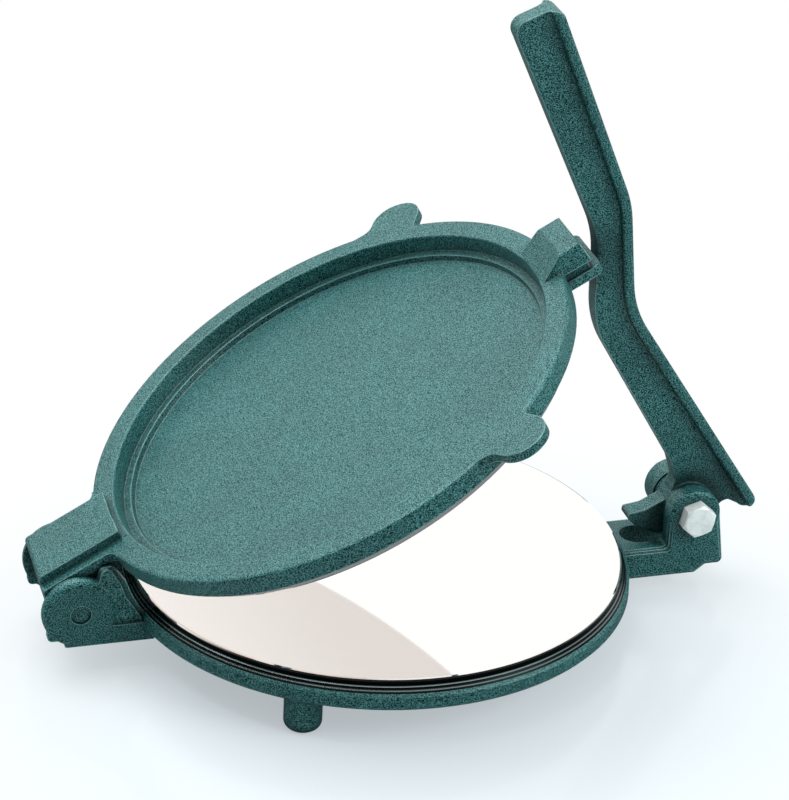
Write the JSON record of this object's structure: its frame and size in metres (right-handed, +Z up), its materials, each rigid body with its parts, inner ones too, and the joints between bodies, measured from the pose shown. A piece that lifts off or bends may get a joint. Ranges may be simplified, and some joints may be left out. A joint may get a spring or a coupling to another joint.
{
  "type": "tortilla press",
  "caption": "Cast press for flat breads: round steel-faced plates, a hinged dished lid with a wedge nose, and a cranked lever pivoted in a clevis.",
  "frame": {"origin": "on the table under the middle of the press's length", "axes": "+Z up; +X from the hinge to the lever; the hinge pin and the lever's bolt lie along Y; the round plates' axis is at X = -0.01082"},
  "size_m": [0.3024, 0.2115, 0.2558],
  "materials": {
    "green_paint": "grey-green hammertone enamel, semi-gloss, fine speckle",
    "plate_steel": "mirror-polished sheet steel",
    "pin_steel": "painted over with the casting",
    "fastener_zinc": "bright zinc plate"
  },
  "bodies": {
    "base": {"base_casting": "green_paint", "base_press_plate": "plate_steel"},
    "pin": {"hinge_pin": "pin_steel"},
    "lid": {"lid_casting": "green_paint", "lid_press_plate": "plate_steel"},
    "bolt": {"lever_bolt": "fastener_zinc", "lever_washer": "fastener_zinc", "lever_nut": "fastener_zinc"},
    "lever": {"lever_casting": "green_paint"}
  },
  "joints": [
    {"name": "lid_lift", "type": "hinge", "parent": "base", "child": "pin", "pos_m": [-0.13622, 0, 0.0259], "axis": [0, -1, 0], "range_deg": [0, 60]},
    {"name": "lid_shut", "type": "hinge", "parent": "pin", "child": "lid", "pos_m": [-0.13622, 0, 0.0259], "axis": [0, -1, 0], "range_deg": [-29.4, 0]},
    {"name": "lever_swing", "type": "hinge", "parent": "base", "child": "bolt", "pos_m": [0.12198, 0, 0.0352], "axis": [0, 1, 0], "range_deg": [0, 30]},
    {"name": "lever_back", "type": "hinge", "parent": "bolt", "child": "lever", "pos_m": [0.12198, 0, 0.0352], "axis": [0, 1, 0], "range_deg": [0, 82.4]}
  ],
  "couplings": [
    {"joint": "lever_back", "follows": "lid_shut", "ratio": -2.8}
  ]
}
